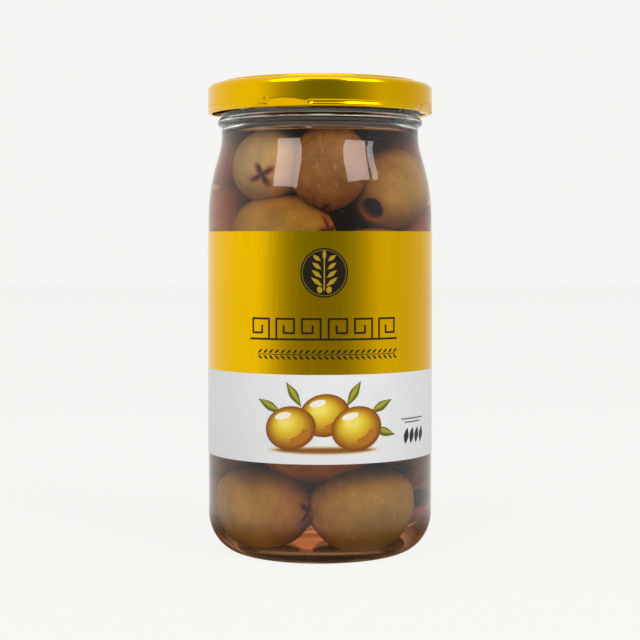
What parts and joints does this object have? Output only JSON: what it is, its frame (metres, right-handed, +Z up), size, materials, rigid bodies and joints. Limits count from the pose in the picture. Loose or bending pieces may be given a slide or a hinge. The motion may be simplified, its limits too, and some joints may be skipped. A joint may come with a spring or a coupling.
{
  "type": "jar of olives",
  "caption": "Filled glass food jar: straight round body, soft shoulder, twist-off metal lid, wrap-round label, pitted olives under brine.",
  "frame": {"origin": "middle of the ring that the jar stands on, on the jar's axis", "axes": "+Z up along the jar's axis, the middle of the label faces -Y, +X to the right of someone who faces the label"},
  "size_m": [0.0664, 0.0665, 0.1386],
  "materials": {
    "glass": "clear flint glass, fire-polished",
    "lid": "gold lacquer over tinplate, glossy",
    "label": "gold foil band over a plain white band, satin",
    "olive": "wet olive skin",
    "brine": "clear amber liquid"
  },
  "bodies": {
    "root": {"glass_jar": "glass", "lid": "lid", "label": "label", "olives": "olive", "brine": "brine"}
  },
  "joints": []
}
